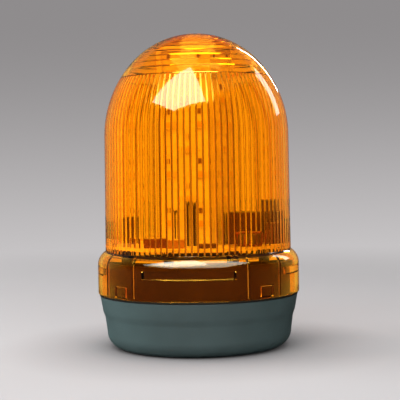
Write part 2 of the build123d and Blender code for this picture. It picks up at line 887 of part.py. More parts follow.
def make_terminal_block():
    """Screw terminal block: a well over each clamp and a wire hole in front of it."""
    width = terminal_way_count * terminal_pitch
    body = block(width, terminal_depth, terminal_height, terminal_x, terminal_y, board_top)
    well = terminal_pitch - 2 * terminal_wall
    well_depth = terminal_height - terminal_clamp_foot
    hole = Cylinder(terminal_wire_hole / 2, terminal_depth, rotation=(90, 0, 0))
    for way in range(terminal_way_count):
        x = terminal_way_x(way)
        body -= block(well, terminal_depth - 2 * terminal_wall, well_depth, x, terminal_y,
                      board_top + terminal_clamp_foot)
        body -= Pos(x, terminal_y - terminal_depth / 2,
                    board_top + terminal_wire_height) * hole
    return body


def make_terminal_clamps():
    """Brass clamps in the wells, each with a hole for the wire."""
    clamps = []
    width = terminal_pitch - 2 * terminal_wall - 2 * terminal_clamp_fit
    depth = terminal_depth - 2 * terminal_wall - 2 * terminal_clamp_fit
    hole = Cylinder(terminal_wire_hole / 2, terminal_depth, rotation=(90, 0, 0))
    for way in range(terminal_way_count):
        x = terminal_way_x(way)
        clamp = block(width, depth, terminal_clamp_height, x, terminal_y,
                      board_top + terminal_clamp_foot)
        clamps.append(clamp - Pos(x, terminal_y, board_top + terminal_wire_height) * hole)
    return clamps


def make_terminal_screws():
    """Slotted screw heads lying on the clamps."""
    screws = []
    seat = board_top + terminal_clamp_foot + terminal_clamp_height
    for way in range(terminal_way_count):
        x = terminal_way_x(way)
        head = rod(terminal_screw_diameter / 2, terminal_screw_height, x, terminal_y, seat)
        slot = block(terminal_screw_diameter, screw_slot_width, screw_slot_depth, x, terminal_y,
                     seat + terminal_screw_height - screw_slot_depth)
        screws.append(head - slot)
    return screws


def make_trimmer_body():
    """Square body of the volume trimmer with the rotor's round well."""
    body = block(trimmer_side, trimmer_side, trimmer_height, trimmer_x, trimmer_y, board_top)
    well = trimmer_rotor_diameter / 2 + trimmer_fit
    depth = trimmer_rotor_sunk + trimmer_fit
    return body - rod(well, depth, trimmer_x, trimmer_y, board_top + trimmer_height - depth)


def make_trimmer_rotor():
    """The trimmer's slotted rotor."""
    foot = board_top + trimmer_height - trimmer_rotor_sunk
    rotor = rod(trimmer_rotor_diameter / 2, trimmer_rotor_height, trimmer_x, trimmer_y, foot)
    slot = block(trimmer_rotor_diameter, trimmer_slot_width, trimmer_slot_depth, trimmer_x,
                 trimmer_y, foot + trimmer_rotor_height - trimmer_slot_depth)
    return rotor - slot


def switch_way_x(way):
    """Middle of one way of the mode switch."""
    return switch_x + (way - (switch_way_count - 1) / 2) * switch_pitch


def make_switch_body():
    """Body of the mode switch, with one slot for each lever."""
    body = block(switch_width, switch_depth, switch_height, switch_x, switch_y, board_top)
    for way in range(switch_way_count):
        body -= block(switch_slot_width, switch_slot_length, switch_slot_depth,
                      switch_way_x(way), switch_y, board_top + switch_height - switch_slot_depth)
    return body


def make_slider(way):
    """One lever of the mode switch, at the front end of its slot."""
    length = switch_slot_length - slider_travel - 2 * slider_fit
    width = switch_slot_width - 2 * slider_fit
    height = switch_slot_depth - slider_fit + slider_proud
    y = switch_y - switch_slot_length / 2 + slider_fit + length / 2
    foot = board_top + switch_height - switch_slot_depth + slider_fit
    return block(width, length, height, switch_way_x(way), y, foot)


os.makedirs("parts", exist_ok=True)
write("lens", make_lens())
write("lens_gasket", make_lens_gasket())
write("base_housing", make_base_housing())
write("mounting_seal", make_mounting_seal())
write("mount_inserts", *make_mount_inserts())
write("cable_grommet", make_cable_grommet())
write("bayonet_ring", make_bayonet_ring())
write("ring_screws", *[screw(place, rim_height, screw_length) for place in ring_screw_places()])
write("main_board", make_main_board())
write("board_screws", *[screw(place, board_top, screw_length) for place in board_screw_places()])
write("tower_frame", make_tower_frame())
write("tower_cap", make_tower_cap())
tab_top = board_top + tower_foot_thickness
write("tower_screws", *[screw(place, tab_top, tower_foot_thickness)
                        for place in tab_screw_places()])
for face in range(face_count):
    number = str(face + 1)
    write("led_board_" + number, make_light_board(face))
    write("leds_" + number, *make_lights(face))
    write("led_resistors_" + number, *make_resistors(face))
write("supply_wires", *make_supply_wires())
write("control_relay", make_relay())
write("buzzer_housing", make_buzzer_housing())
write("buzzer_disc", make_buzzer_disc())
write("capacitor_tall", make_capacitor())
write("film_capacitor", make_film_capacitor())
write("choke_core", make_choke_core())
write("choke_winding", *make_choke_winding())
write("rectifier", make_rectifier())
write("controller_chip", make_chip())
write("terminal_block", make_terminal_block())
write("terminal_clamps", *make_terminal_clamps())
write("terminal_screws", *make_terminal_screws())
write("volume_trimmer_body", make_trimmer_body())
write("volume_trimmer_rotor", make_trimmer_rotor())
write("mode_switch_body", make_switch_body())
for way in range(switch_way_count):
    write("mode_switch_slider_" + str(way + 1), make_slider(way))
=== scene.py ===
import json
from math import cos, pi, radians, sin, sqrt

import bpy
import numpy as np
from mathutils import Matrix, Vector


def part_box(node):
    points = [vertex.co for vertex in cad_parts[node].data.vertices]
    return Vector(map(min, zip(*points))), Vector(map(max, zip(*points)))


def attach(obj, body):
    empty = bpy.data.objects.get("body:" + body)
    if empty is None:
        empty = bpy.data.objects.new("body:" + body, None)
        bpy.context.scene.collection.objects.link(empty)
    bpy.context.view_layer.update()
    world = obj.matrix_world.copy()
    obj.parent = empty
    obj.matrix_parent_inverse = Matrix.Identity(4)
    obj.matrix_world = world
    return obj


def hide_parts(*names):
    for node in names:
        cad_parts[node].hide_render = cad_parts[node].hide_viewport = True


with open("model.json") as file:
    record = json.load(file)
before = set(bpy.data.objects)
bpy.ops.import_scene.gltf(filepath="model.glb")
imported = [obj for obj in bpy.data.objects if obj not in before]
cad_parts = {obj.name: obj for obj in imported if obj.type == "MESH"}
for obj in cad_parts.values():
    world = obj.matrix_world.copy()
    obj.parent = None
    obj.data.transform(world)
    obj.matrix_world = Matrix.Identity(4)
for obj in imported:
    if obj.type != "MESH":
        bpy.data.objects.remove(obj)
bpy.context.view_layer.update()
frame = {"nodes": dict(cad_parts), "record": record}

# Amber warning light on a plain pale floor. Lengths are in millimetres unless a name ends in
# _m, angles round the axis are from the front, positive towards +X, and meshes are in metres.
MM = 0.001
scene = bpy.context.scene


def corners_of(node):
    """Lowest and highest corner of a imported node, in millimetres."""
    low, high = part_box(node)
    return np.array(low) / MM, np.array(high) / MM


# Places read from the frame
lens_low, lens_high = corners_of("lens")
collar_radius, lens_foot, lens_apex = lens_high[0], lens_low[2], lens_high[2]
rim_radius, _, rim_height = corners_of("base_housing")[1]
gasket_radius = corners_of("lens_gasket")[1][0]
board_top = corners_of("main_board")[1][2]

# The lens, as it is moulded
lens_wall = 2.5
lens_edge = 0.35
collar_inner = collar_radius - lens_wall
collar_top = lens_foot + 17.8
collar_flank = 0.5
collar_flank_turn = radians(0.75)
shoulder_radius = 9.5
shoulder_centre = collar_radius - shoulder_radius
dome_foot_radius = collar_radius - 4.8
spring_radius = dome_foot_radius - 0.5
dome_wall_height = 70.6
side_arc_radius = spring_radius + 10.8
side_arc_centre = spring_radius - side_arc_radius
crown_arc_radius = spring_radius - 3.9
rib_count = 96
columns_per_rib = 12
rib_root_wall = 2.0
rib_depth = 1.0
rib_groove_share = 0.38
rib_end_flank = 0.3
rib_end_lean = radians(60.35)
ring_count = 9
ring_pitch = radians(5.0)
ring_first_lean = radians(53.6)
ring_depth = 1.0
ring_draft = 0.12
quarter_turn = 2 * pi / 4
bar_top = collar_top - 1.0
bar_height = 4.2
bar_depth = 2.6
bar_start = radians(-32.5)
bar_end = radians(20.3)
block_foot = lens_foot + 1.3
block_height = 6.0
block_depth = 1.6
block_middle = radians(41.0)
block_width = radians(8.5)
guide_depth = 0.8
guide_width = radians(0.9)
guide_places = (radians(-38.7), radians(28.2))
smooth_columns = 192
fine_columns = rib_count * columns_per_rib


# Turns at which the shoulder's outside meets the dome's wall, and its inside the ribs' foot
inner_shoulder_radius = shoulder_radius - lens_wall
shoulder_turn = np.arccos((dome_foot_radius - shoulder_centre) / shoulder_radius)
inner_shoulder_turn = np.arccos((dome_foot_radius - rib_root_wall - shoulder_centre)
                                / inner_shoulder_radius)
dome_foot = collar_top + shoulder_radius * sin(shoulder_turn)
spring_height = dome_foot + dome_wall_height
crown_centre = lens_apex - crown_arc_radius
side_turn = np.arctan2(crown_centre - spring_height, -side_arc_centre)
# The base, its gasket and what stands in its bottom
flare_foot_radius = rim_radius - 1.6
waist_radius = flare_foot_radius - 1.5
foot_radius = waist_radius - 1.1
foot_edge = 9.8
waist_height = 18.2
flare_foot_height = 23.4
base_wall = 2.6
floor_height = 3.0
rim_seat_inner, rim_seat_outer, rim_seat_height = 57.0, 58.9, 29.8
gasket_inner = 57.2
recess_radius, recess_height = 14.0, 4.0
entry_radius, entry_top, entry_boss_radius = 6.0, 7.0, 16.6
seal_width = 2.4
insert_ring, insert_radius, insert_depth = 37.5, 4.0, 10.0
boss_radius, boss_top = 6.0, 12.0

# The lights on the tower and their supply wires; wire places are across and up to the bend
tower_turn, light_face = radians(-25), 16.8
light_rows, light_row_first, light_row_pitch, light_column = 7, 13.4, 15.0, 10.0
light_side, light_height, light_edge = 5.0, 1.6, 0.35
window_radius, window_floor = 2.0, 1.3
wire_places = ((-5.2, 21.3), (3.6, 26.8), (8.0, 26.4))
wire_radius, wire_standoff, wire_bend = 0.64, 5.0, 4.0

# The circuit parts on the main board
core_inner, core_outer, core_height, core_edge = 3.3, 6.95, 6.6, 0.7
winding_count, winding_steps, winding_radius, winding_hug = 14, 40, 0.54, 0.45
winding_middle, winding_reach, winding_level, winding_rise = 5.13, 2.36, 4.4, 3.82
buzzer_wall, buzzer_hole = 1.2, 3.0

# Camera, as measured in the photograph, which is picture_px wide and high
camera_place_m = (0.0, -0.652, 0.1072)
camera_lens_mm, camera_sensor_mm = 93.9, 36.0
camera_pitch, camera_yaw, camera_roll = radians(1.48), radians(-0.141), -0.016
picture_px = 400
camera_focal_px = camera_lens_mm / camera_sensor_mm * picture_px


# Shapes: a shape is a pair, its points in millimetres and a list of blocks of faces

def polar(radius, angle, height):
    """Points from radius, angle from the front and height: x = r sin a, y = -r cos a."""
    return np.stack([radius * np.sin(angle), -radius * np.cos(angle), height], axis=-1)


def pole(height):
    """A row that is one point on the axis."""
    return np.array([[[0, 0, height]]], float)


def turned_grid(profile, columns):
    """Points of a profile of radius and height carried round the axis."""
    angle = 2 * pi * np.arange(columns) / columns
    return polar(profile[:, :1], angle, profile[:, 1:] + 0 * angle)


def quads_between(first, second, columns):
    """Quads between two rows of equal count, by the numbers of their first points."""
    step = np.arange(columns)
    after = (step + 1) % columns
    return np.stack([first + step, first + after, second + after, second + step], axis=1)


def fan_between(coarse, fine, columns, ratio):
    """Triangles between a coarse row and a row with ratio times as many points."""
    step = np.repeat(np.arange(columns), ratio)
    after = (step + 1) % columns
    place = np.arange(columns * ratio)
    near = np.where(place % ratio < ratio // 2, step, after)
    thin = np.stack([coarse + near, fine + place, fine + (place + 1) % (columns * ratio)], axis=1)
    middle = np.arange(columns)
    wide = np.stack([coarse + middle, fine + middle * ratio + ratio // 2,
                     coarse + (middle + 1) % columns], axis=1)
    return np.concatenate([thin, wide])[:, ::-1]


def pole_fan(pole, row, columns):
    """Triangles from one point to the row beside it."""
    step = np.arange(columns)
    return np.stack([np.full(columns, pole), row + (step + 1) % columns, row + step], axis=1)


def outward(points, faces):
    """The same faces, all turned round if the closed surface they make is inside out."""
    volume = 0.0
    for block in faces:
        for side in range(1, block.shape[1] - 1):
            first, second, third = (points[block[:, corner]] for corner in (0, side, side + 1))
            volume += np.sum(first * np.cross(second, third))
    return faces if volume > 0 else [block[:, ::-1] for block in faces]


def stitched(grids, closed=False):
    """Points and faces of rows of points joined in order, with a pole where a row is one point.

    Each grid is rows by columns by three. Where neighbours differ in count, a fan joins them.
    """
    rows = [row for grid in grids for row in grid]
    sizes = np.array([len(row) for row in rows])
    starts = np.cumsum(sizes) - sizes
    faces = []
    for a in range(len(rows) if closed else len(rows) - 1):
        b = (a + 1) % len(rows)
        if sizes[a] == sizes[b]:
            faces.append(quads_between(starts[a], starts[b], sizes[a]))
            continue
        few, many = sorted((a, b), key=lambda row: sizes[row])
        if sizes[few] == 1:
            fan = pole_fan(starts[few], starts[many], sizes[many])
        else:
            ratio = sizes[many] // sizes[few]
            fan = fan_between(starts[few], starts[many], sizes[few], ratio)
        faces.append(fan if few == a else fan[:, ::-1])
    points = np.concatenate(rows)
    return points, outward(points, faces)

def turned_shape(profile, columns=64, closed=True):
    """A closed loop of radius and height turned round the axis, or a line from pole to pole."""
    profile = np.array(profile, float)
    grids = [turned_grid(row[None], columns) if row[0] > 0 else pole(row[1]) for row in profile]
    return stitched(grids, closed)


def placed(shape, offset=(0, 0, 0), turn=0.0):
    """A shape turned about the upright axis and then moved."""
    points, faces = shape
    x, y, z = points.T
    flat = np.stack([cos(turn) * x - sin(turn) * y, sin(turn) * x + cos(turn) * y, z], axis=1)
    return flat + np.array(offset, float), faces


def joined(shapes):
    """Several shapes as one."""
    starts = np.cumsum([0] + [len(points) for points, _ in shapes])
    faces = [block + start for (_, blocks), start in zip(shapes, starts) for block in blocks]
    return np.concatenate([points for points, _ in shapes]), faces


def linked(name, data):
    """An object with its data, in the scene."""
    made = bpy.data.objects.new(name, data)
    scene.collection.objects.link(made)
    return made


def shown(name, shape):
    """A mesh object in the scene, its mesh in metres."""
    points, faces = shape
    mesh = bpy.data.meshes.new(name)
    rows = [row for block in faces for row in block.tolist()]
    mesh.from_pydata((points * MM).tolist(), [], rows)
    return linked(name, mesh)


def smoothed(mesh, sharp_above):
    """Smooth faces, with sharp edges above an angle in degrees."""
    mesh.shade_smooth()
    mesh.set_sharp_from_angle(angle=radians(sharp_above))


def gathered(name, shapes, slot, replaced=None, body="base", sharp_above=35.0, look=None):
    """One piece out of closed shapes, with its material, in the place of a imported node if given."""
    piece = shown(name, joined(shapes))
    piece.data.validate()
    smoothed(piece.data, sharp_above)
    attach(piece, body)
    if replaced:
        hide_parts(replaced)
    piece.data.materials.append(materials[look or slot])
    return piece


def unit(vectors):
    """Vectors brought to length one."""
    return vectors / (np.linalg.norm(vectors, axis=1)[:, None] + 1e-12)


def arc(centre, radius, start, end, count):
    """Points of radius and height along an arc; angles in radians from +radius towards +height."""
    angle = np.linspace(start, end, count)
    return np.array(centre) + radius * np.stack([np.cos(angle), np.sin(angle)], axis=1)


def rounded(corners, radii, count=4, closed=True):
    """The outline through corners, each rounded by its own radius with an arc-like blend."""
    corners = np.array(corners, float)
    before = unit(np.roll(corners, 1, axis=0) - corners)
    after = unit(np.roll(corners, -1, axis=0) - corners)
    outline = []
    last = len(corners) - 1
    share = np.linspace(0, 1, count + 1)[:, None]
    for k, radius in enumerate(radii):
        if radius == 0 or (not closed and k in (0, last)):
            outline.append(corners[k:k + 1])
            continue
        start, end = corners[k] + before[k] * radius, corners[k] + after[k] * radius
        outline.append((1 - share) ** 2 * start + 2 * share * (1 - share) * corners[k]
                       + share ** 2 * end)
    return np.concatenate(outline)


# Lens

def outer_lens_profile():
    """Outside of the lens down from the apex: crown, side arc, drafted wall, shoulder, collar."""
    crown = arc((0, crown_centre), crown_arc_radius, pi / 2, side_turn, 22)[1:]
    side = arc((side_arc_centre, spring_height), side_arc_radius, side_turn, 0, 22)[1:]
    shares = np.linspace(0, 1, 9)[1:, None]
    wall = (1 - shares) * side[-1] + shares * np.array([dome_foot_radius, dome_foot])
    shoulder = arc((shoulder_centre, collar_top), shoulder_radius, shoulder_turn, 0, 16)[1:]
    foot = rounded([(collar_radius, collar_top), (collar_radius, lens_foot),
                    (collar_inner, lens_foot)], [0, lens_edge, 0], 3, closed=False)[1:-1]
    return np.concatenate([crown, side, wall, shoulder, foot])


def eased(share):
    """A share from 0 to 1 with a level start and end."""
    return share * share * (3 - 2 * share)


def soft_step(value, start, end, width):
    """One between start and end, nothing outside, with smooth flanks of a width."""
    rise = np.clip((value - start) / width + 0.5, 0, 1)
    fall = np.clip((end - value) / width + 0.5, 0, 1)
    return eased(np.minimum(rise, fall))


def four_round(angle, middle, width):
    """One on each of four places a quarter turn apart, nothing between them."""
    aside = (angle - middle + quarter_turn / 2) % quarter_turn - quarter_turn / 2
    return soft_step(aside, -width / 2, width / 2, collar_flank_turn)


def collar_grid(angle):
    """Inside of the collar: r = wall radius less bars, blocks and guide ribs, each a soft step."""
    edges = [block_foot, block_foot + block_height, bar_top - bar_height, bar_top]
    steps = np.array([-0.5, -0.17, 0.17, 0.5]) * collar_flank
    heights = np.concatenate([[lens_foot + lens_edge], *[edge + steps for edge in edges],
                              np.linspace(block_foot + block_height + 1.5, bar_top - 5.5, 3)])
    heights = np.sort(heights)[:, None]
    bar = bar_depth * four_round(angle, (bar_start + bar_end) / 2, bar_end - bar_start) \
        * soft_step(heights, bar_top - bar_height, bar_top, collar_flank)
    block = block_depth * four_round(angle, block_middle, block_width) \
        * soft_step(heights, block_foot, block_foot + block_height, collar_flank)
    guides = sum(guide_depth * four_round(angle, place, guide_width) for place in guide_places)
    guides = guides * (heights > block_foot)
    radius = collar_inner - np.maximum(np.maximum(bar, block), guides)
    turn = np.linspace(0, inner_shoulder_turn, 9)[1:, None]
    fade = np.clip(1 - turn / inner_shoulder_turn, 0, 1)
    bend = shoulder_centre + (inner_shoulder_radius - guides[-1:] * fade) * np.cos(turn)
    rise = collar_top + inner_shoulder_radius * np.sin(turn) + 0 * angle
    return polar(np.concatenate([radius, bend]), angle,
                 np.concatenate([heights + 0 * angle, rise]))


def rib_grid(angle):
    """Ribbed inside of the dome: r = root(z) - d(z) f(u), f flat between narrow grooves."""
    foot = collar_top + inner_shoulder_radius * sin(inner_shoulder_turn)
    top = crown_centre + (crown_arc_radius - lens_wall) * cos(rib_end_lean)
    end = rib_end_flank
    straight = np.linspace(foot + 1.5 * end, spring_height, 7)
    arched = np.linspace(spring_height, top - 1.5 * end, 15)[1:]
    heights = np.concatenate([[foot + end / 2], straight, arched, [top - end / 2]])[:, None]
    rise = np.clip(heights - spring_height, 0, None)
    share = np.clip((heights - dome_foot) / dome_wall_height, None, 1)
    root = dome_foot_radius + share * (spring_radius - dome_foot_radius) - rib_root_wall
    bent = side_arc_centre + np.sqrt((side_arc_radius - rib_root_wall) ** 2 - rise ** 2)
    root = np.where(heights > spring_height, bent, root)
    place = angle * rib_count / (2 * pi) % 1
    flank = np.clip(2 * np.minimum(place, 1 - place) / rib_groove_share, 0, 1)
    depth = rib_depth * soft_step(heights, foot + end, top - end, end)
    return polar(root - depth * root / root[0] * eased(flank), angle, heights + 0 * angle)


def crown_profile():
    """Inside of the crown: a plain band, then prism rings that step down towards the middle."""
    inner = crown_arc_radius - lens_wall
    band = arc((0, crown_centre), inner, pi / 2 - rib_end_lean, pi / 2 - ring_first_lean, 6)
    leans = ring_first_lean - ring_pitch * np.arange(ring_count + 1)
    edges = np.stack([inner * np.sin(leans), crown_centre + inner * np.cos(leans)], axis=1)
    slope = np.linspace(0, 1, 4)[:, None]
    rings = [(1 - slope) * (edge - (ring_draft, ring_depth)) + slope * inward
             for edge, inward in zip(edges, edges[1:])]
    return np.concatenate([band, *rings])


def make_lens():
    """The amber lens: smooth outside, bayonet mouldings, upright ribs and crown rings inside."""
    angle = 2 * pi * np.arange(fine_columns) / fine_columns
    crown = crown_profile()
    shape = stitched([pole(lens_apex), turned_grid(outer_lens_profile(), smooth_columns),
                      collar_grid(angle), rib_grid(angle), turned_grid(crown, smooth_columns),
                      pole(crown[-1, 1])])
    lens = gathered("dome_lens", [shape], "amber_lens", body="lens_body", sharp_above=32.0)
    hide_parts("lens")


# Base

def base_profile():
    """Outside of the base from the rim down to the middle, with its rounded bottom edge."""
    waist = np.array([waist_radius, waist_height])
    flare = np.array([flare_foot_radius, flare_foot_height])
    share = np.linspace(0, 1, 11)[:, None]
    lead_in, lead_out = np.array([(0.13, 1.0), (0.18, 1.0)]) * (flare[1] - waist[1])
    bend = waist + eased(share) * (flare - waist) + share * (1 - share) * (
        (1 - share) * lead_in - share * lead_out)
    rim = rounded([(rim_radius - 2.6, rim_height), (rim_radius, rim_height),
                   tuple(flare)], [0, 0.4, 0], 4, closed=False)
    foot = arc((foot_radius - foot_edge, foot_edge), foot_edge, 0, -pi / 2, 16)
    return np.concatenate([rim[:-1], bend[::-1], foot])


def base_loop():
    """The whole section of the base: outside, seal groove, cable recess, floor and inside wall."""
    outer, _, depth = corners_of("mounting_seal")[1]
    inner = outer - seal_width
    under = [(outer, 0), (outer, depth), (inner, depth), (inner, 0), (recess_radius, 0),
             (recess_radius, recess_height), (entry_radius, recess_height),
             (entry_radius, entry_top), (entry_boss_radius, entry_top),
             (entry_boss_radius, floor_height), (foot_radius - foot_edge, floor_height)]
    inside = [(foot_radius - base_wall, floor_height + foot_edge - base_wall),
              (waist_radius - base_wall, waist_height),
              (flare_foot_radius - base_wall, flare_foot_height),
              (rim_seat_inner, rim_seat_height), (rim_seat_outer, rim_seat_height)]
    return np.concatenate([base_profile(), np.array(under), np.array(inside)])


def make_base():
    """The base housing; the bosses and holes of its inserts are cut in with Boolean modifiers."""
    sharp_above = 28.0
    base = gathered("base_shell", [turned_shape(base_loop(), 240)], "base_plastic",
                    sharp_above=sharp_above)
    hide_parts("base_housing")
    boss_foot = floor_height - 0.8
    boss = [(0, boss_foot), (boss_radius + 0.4, boss_foot), (boss_radius, boss_top - 0.3),
            (boss_radius - 0.3, boss_top), (0, boss_top)]
    hole = [(0, -1.0), (insert_radius, -1.0), (insert_radius, insert_depth), (0, insert_depth)]
    for name, profile, operation in (("insert_bosses", boss, "UNION"),
                                     ("insert_holes", hole, "DIFFERENCE")):
        shape = turned_shape(profile, 48, closed=False)
        tool = shown(name, joined([placed(shape, spot) for spot in insert_spots()]))
        cut = base.modifiers.new(name, "BOOLEAN")
        cut.object, cut.operation, cut.solver = tool, operation, "EXACT"
        whole = bpy.data.meshes.new_from_object(
            base.evaluated_get(bpy.context.evaluated_depsgraph_get()))
        base.modifiers.clear()
        base.data = whole
        bpy.data.objects.remove(tool)
    smoothed(base.data, sharp_above)


def make_gasket():
    """The rubber ring under the lens, its edges rounded."""
    loop = rounded([(gasket_inner, rim_height), (gasket_radius, rim_height),
                    (gasket_radius, lens_foot), (gasket_inner, lens_foot)],
                   [0.2, 0.45, 0.45, 0.2], 4)
    gasket = gathered("collar_gasket", [turned_shape(loop, 240)], "black_rubber")
    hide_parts("lens_gasket")


# Materials: shared effects are node groups, and each shader stays in its own material

def fill(tree, inputs, given):
    """Inputs set to values or linked to outputs."""
    for key, value in given.items():
        if isinstance(value, bpy.types.NodeSocket):
            tree.links.new(value, inputs[key])
        else:
            inputs[key].default_value = value


def node(tree, kind, sockets=None, **settings):
    """A shader node with its settings made, and its inputs set to values or linked to outputs."""
    made = tree.nodes.new("ShaderNode" + kind)
    for key, value in settings.items():
        setattr(made, key, value)
    fill(tree, made.inputs, sockets or {})
    return made


def maths(tree, operation, *values, clamp=False):
    """The output of a Math node on values or sockets."""
    return node(tree, "Math", dict(enumerate(values)), operation=operation,
                use_clamp=clamp).outputs[0]


def times(tree, *factors):
    """The product of values or sockets."""
    product = factors[0]
    for factor in factors[1:]:
        product = maths(tree, "MULTIPLY", product, factor)
    return product


def ramped(tree, value, low, high, start=0.0, end=1.0):
    """A value from low to high turned into start to end, held beyond both."""
    return node(tree, "MapRange", {0: value, 1: low, 2: high, 3: start, 4: end}).outputs[0]


def blend(tree, share, first, second):
    """Two colours mixed by a share."""
    return node(tree, "MixRGB", {0: share, 1: first, 2: second}).outputs[0]


def here(tree):
    """The place on the object, in metres."""
    return node(tree, "TexCoord").outputs["Object"]


def bumped(tree, height, strength, distance):
    """A normal tilted by a height."""
    return node(tree, "Bump", {"Strength": strength, "Distance": distance,
                               "Height": height}).outputs[0]


def noise(tree, spot, scale, detail=3.0, stretch=None):
    """Noise at a place, stretched along the axes if asked."""
    if stretch:
        spot = node(tree, "Mapping", {"Vector": spot, "Scale": stretch}).outputs[0]
    return node(tree, "TexNoise", {"Vector": spot, "Scale": scale, "Detail": detail}).outputs[0]


def effect(name, given, made):
    """An empty node group: inputs with their start values, and the labels of its outputs."""
    tree = bpy.data.node_groups.new(name, "ShaderNodeTree")
    for label, value in given.items():
        kind = "NodeSocketFloat" if isinstance(value, float) else "NodeSocketVector"
        tree.interface.new_socket(label, in_out="INPUT", socket_type=kind).default_value = value
    for label in made:
        kind = "NodeSocketVector" if label == "Normal" else "NodeSocketFloat"
        tree.interface.new_socket(label, in_out="OUTPUT", socket_type=kind)
    inputs = tree.nodes.new("NodeGroupInput").outputs
    sink = tree.nodes.new("NodeGroupOutput").inputs
    return tree, inputs, lambda label, socket: tree.links.new(socket, sink[label])


def grain_effect():
    """Fine bumps of a mould's surface, with a fine and a broad pattern to vary colour by."""
    tree, given, out = effect("moulded_grain", {"Scale": 1500.0, "Depth": 0.00004, "Spread": 60.0},
                              ("Normal", "Fine", "Broad"))
    spot = here(tree)
    fine = noise(tree, spot, given["Scale"])
    out("Fine", fine)
    out("Broad", noise(tree, spot, given["Spread"], 4.0))
    out("Normal", bumped(tree, fine, 0.6, given["Depth"]))
    return tree


def dust_effect():
    """Dust that settles on faces turned up, in patches."""
    tree, given, out = effect("settled_dust", {"Amount": 0.3, "Scale": 260.0}, ("Mask",))
    up = node(tree, "SeparateXYZ", {0: node(tree, "NewGeometry").outputs["Normal"]}).outputs["Z"]
    patches = noise(tree, here(tree), given["Scale"], 5.0)
    level = times(tree, ramped(tree, up, 0.25, 0.95), ramped(tree, patches, 0.35, 0.65))
    out("Mask", maths(tree, "MULTIPLY", level, given["Amount"], clamp=True))
    return tree


def rub_effect():
    """Thin marks rubbed round a piece by handling: noise stretched flat, only its peaks kept."""
    tree, given, out = effect("rub_marks", {"Amount": 0.5, "Scale": 90.0}, ("Mask",))
    spot = here(tree)
    level = noise(tree, spot, given["Scale"], 2.0, stretch=(1.0, 1.0, 26.0))
    patch = noise(tree, spot, 30.0, 2.0)
    peaks = times(tree, ramped(tree, level, 0.66, 0.72), ramped(tree, patch, 0.5, 0.62))
    out("Mask", maths(tree, "MULTIPLY", peaks, given["Amount"], clamp=True))
    return tree


def turning_effect():
    """Rings left by a lathe round an upright axis."""
    tree, given, out = effect("turning_marks", {"Centre": (0.0, 0.0, 0.0), "Pitch": 0.0003},
                              ("Normal", "Tone"))
    spot = node(tree, "VectorMath", {0: here(tree),
                                     1: given["Centre"]}, operation="SUBTRACT").outputs[0]
    part = node(tree, "SeparateXYZ", {0: spot}).outputs
    reach = maths(tree, "SQRT", maths(tree, "MULTIPLY_ADD", part["X"], part["X"],
                                      times(tree, part["Y"], part["Y"])))
    run = maths(tree, "ADD", reach, part["Z"])
    wave = maths(tree, "SINE", maths(tree, "DIVIDE", run, given["Pitch"]))
    tone = ramped(tree, wave, -1.0, 1.0)
    out("Tone", tone)
    out("Normal", bumped(tree, tone, 0.5, 0.00002))
    return tree


def track_effect():
    """Copper tracks and holes under a board's lacquer, as lines between cells and dots in them."""
    tree, given, out = effect("board_tracks", {"Scale": 150.0}, ("Tracks", "Holes", "Normal"))
    cells = {"Vector": here(tree), "Scale": given["Scale"], "Randomness": 0.35}
    edge, cell = [node(tree, "TexVoronoi", cells, feature=feature).outputs["Distance"]
                  for feature in ("DISTANCE_TO_EDGE", "F1")]
    tracks = ramped(tree, edge, 0.05, 0.09, 1.0, 0.0)
    out("Tracks", tracks)
    out("Holes", ramped(tree, cell, 0.07, 0.09, 1.0, 0.0))
    out("Normal", bumped(tree, tracks, 0.5, 0.00003))
    return tree


def flow_effect():
    """Faint upright streaks and ripples that molten plastic leaves in a clear moulding."""
    tree, given, out = effect("mould_flow", {"Scale": 22.0}, ("Streak", "Normal"))
    spot = here(tree)
    streak = noise(tree, spot, given["Scale"], 2.0, stretch=(1.0, 1.0, 0.3))
    ripple = noise(tree, spot, 55.0, 1.0)
    out("Streak", streak)
    out("Normal", bumped(tree, ripple, 0.35, 0.00006))
    return tree


grain, dust, rubs = grain_effect(), dust_effect(), rub_effect()
turning, tracks, flow = turning_effect(), track_effect(), flow_effect()
dust_colour = (0.30, 0.29, 0.27, 1)


def used(tree, group, **sockets):
    """The outputs of a shared effect, with some inputs set."""
    return node(tree, "Group", sockets, node_tree=group).outputs


def started(name):
    """A new material with its node tree."""
    material = bpy.data.materials.new(name)
    material.use_nodes = True
    return material, material.node_tree


def finished(material, given):
    """The material, its Principled shader's inputs set to values or linked to outputs."""
    tree = material.node_tree
    fill(tree, tree.nodes["Principled BSDF"].inputs, given)
    return material


def toned(colour, factor):
    """A colour made lighter or darker, with full opacity."""
    return (*[min(part * factor, 1.0) for part in colour], 1)


def mottled(tree, pattern, colour, dark, pale, low=0.3, high=0.7):
    """A colour that varies between two tones with a pattern."""
    return blend(tree, ramped(tree, pattern, low, high), toned(colour, dark), toned(colour, pale))


def moulding(name, colour, rough, scale, depth, tone=0.22, dusty=0.25, rubbed=0.3, gloss=0.5):
    """A moulded plastic or rubber: mottled colour, grained surface, dust above and rub marks."""
    material, tree = started(name)
    skin = used(tree, grain, Scale=scale, Depth=depth)
    body = mottled(tree, skin["Broad"], colour, 1 - tone, 1 + tone)
    marks = used(tree, rubs, Amount=rubbed)["Mask"]
    rubbed_body = blend(tree, marks, body, toned(colour, 1.9))
    settled = used(tree, dust, Amount=dusty)["Mask"]
    shine = ramped(tree, skin["Fine"], 0.3, 0.7, rough - 0.06, rough + 0.08)
    worn = maths(tree, "MULTIPLY_ADD", marks, -0.12, shine)
    return finished(material, {
        "Base Color": blend(tree, settled, rubbed_body, dust_colour), "Normal": skin["Normal"],
        "Roughness": maths(tree, "MULTIPLY_ADD", settled, 0.35, worn, clamp=True),
        "Specular IOR Level": gloss})


